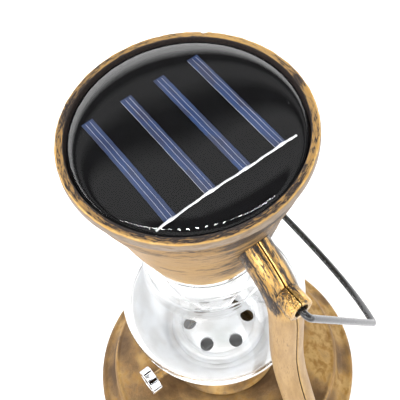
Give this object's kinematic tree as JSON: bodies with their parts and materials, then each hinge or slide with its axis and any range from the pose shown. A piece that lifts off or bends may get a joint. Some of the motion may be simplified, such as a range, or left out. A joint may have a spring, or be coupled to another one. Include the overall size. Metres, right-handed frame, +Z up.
{
  "type": "solar garden light",
  "caption": "Solar garden light shaped like a hurricane lantern: solar panel cap, clear globe over a reflector bowl, side arms, swinging wire bail, thumbwheel switch and flanged base.",
  "frame": {"origin": "centre of the underside, on the ground plane", "axes": "+Z up; +X and -X through the two side arms and the bail's pivots; -Y towards the thumbwheel; +Y towards the side the bail hangs on"},
  "size_m": [0.1258, 0.1194, 0.1907],
  "materials": {
    "antique_bronze": "moulded plastic painted antique bronze over black, dry-brushed",
    "black_wire": "black painted steel wire",
    "clear_plastic": "clear injection-moulded plastic",
    "clear_resin": "clear poured epoxy resin",
    "mirror_silver": "vacuum-metallised plastic, bright silver",
    "chrome": "bright chrome",
    "board_black": "black panel laminate",
    "board_green": "green board lacquer",
    "solar_blue": "blue polycrystalline cell",
    "tinned": "tinned metal",
    "black_plastic": "black moulded plastic",
    "cell_wrap": "shrink-wrapped cell",
    "rubber": "black foam and rubber",
    "steel": "zinc plated steel",
    "lead_red": "soft lead insulation",
    "led_white": "LED lens"
  },
  "bodies": {
    "lantern": {"arm_east_back": "antique_bronze", "arm_east_front": "antique_bronze", "arm_west_back": "antique_bronze", "arm_west_front": "antique_bronze", "base_shell": "antique_bronze", "battery_cell": "cell_wrap", "battery_tray": "black_plastic", "bottom_cover": "black_plastic", "bowl_seal": "rubber", "burner_collar": "antique_bronze", "burner_dome": "mirror_silver", "cap_bell": "antique_bronze", "cap_floor": "black_plastic", "contact_plate": "tinned", "contact_spring": "tinned", "control_board": "board_green", "cover_screw_1": "steel", "cover_screw_2": "steel", "cover_screw_3": "steel", "driver_chip": "black_plastic", "floor_screw_1": "steel", "floor_screw_2": "steel", "globe": "clear_plastic", "inductor": "board_green", "led_board": "board_green", "led_emitter": "led_white", "led_lead": "lead_red", "lens_cup": "clear_plastic", "panel_adhesive_ring": "rubber", "panel_board": "board_black", "panel_lead": "lead_red", "panel_resin_dome": "clear_resin", "reflector_bowl": "mirror_silver", "shaft_bush": "antique_bronze", "solar_strip_1": "solar_blue", "solar_strip_2": "solar_blue", "solar_strip_3": "solar_blue", "solar_strip_4": "solar_blue", "switch_body": "black_plastic", "switch_lead": "lead_red", "tab_ribbon": "tinned"},
    "bail": {"bail": "black_wire"},
    "knob": {"knob_wheel": "chrome", "knob_shaft": "antique_bronze"}
  },
  "joints": [
    {"name": "bail_swing", "type": "hinge", "parent": "lantern", "child": "bail", "pos_m": [0, 0, 0.1532], "axis": [1, 0, 0], "range_deg": [0, 287]},
    {"name": "knob_turn", "type": "hinge", "parent": "lantern", "child": "knob", "pos_m": [0, -0.0374, 0.044], "axis": [0, -1, 0], "range_deg": [0, 270]}
  ]
}
